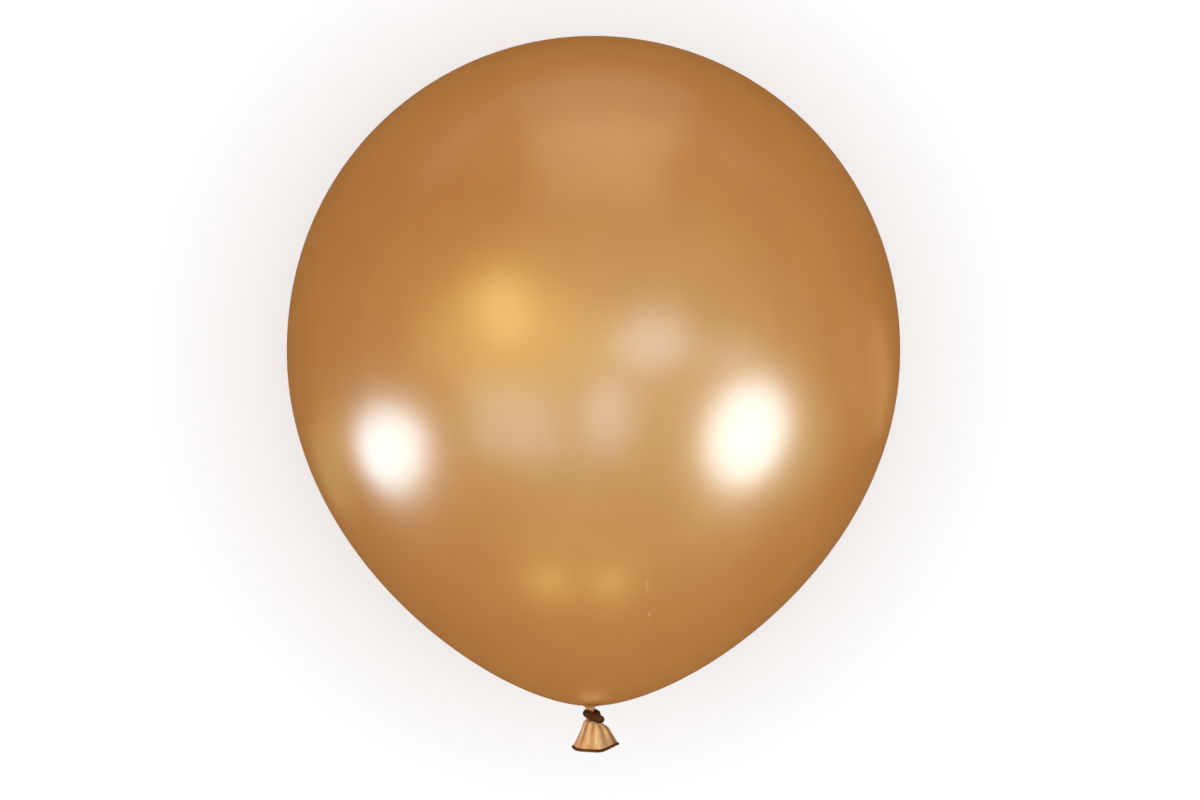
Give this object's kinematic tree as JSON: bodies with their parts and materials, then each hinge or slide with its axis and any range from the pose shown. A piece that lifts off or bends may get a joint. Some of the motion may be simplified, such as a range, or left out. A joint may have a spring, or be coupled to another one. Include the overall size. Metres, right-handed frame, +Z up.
{
  "type": "giant metallic balloon",
  "caption": "Giant round party balloon of gold metallic latex, blown up, tied off with a knot in its own neck above a flared, lipped tail, and lying on its side.",
  "frame": {"origin": "on the floor, under the middle of the balloon's bounding box, with the balloon lying on its side", "axes": "+Y along the balloon's own axis from the knotted tail to the crown, +Z up off the floor, +X to the right when seen from above with the crown away"},
  "size_m": [0.6, 0.7006, 0.598],
  "materials": {
    "metallic_latex": "smooth gold latex with fine metal powder in it, satin to glossy, and paler and duller where it isn't stretched at the neck, knot and tail"
  },
  "bodies": {
    "root": {"balloon": "metallic_latex"}
  },
  "joints": []
}
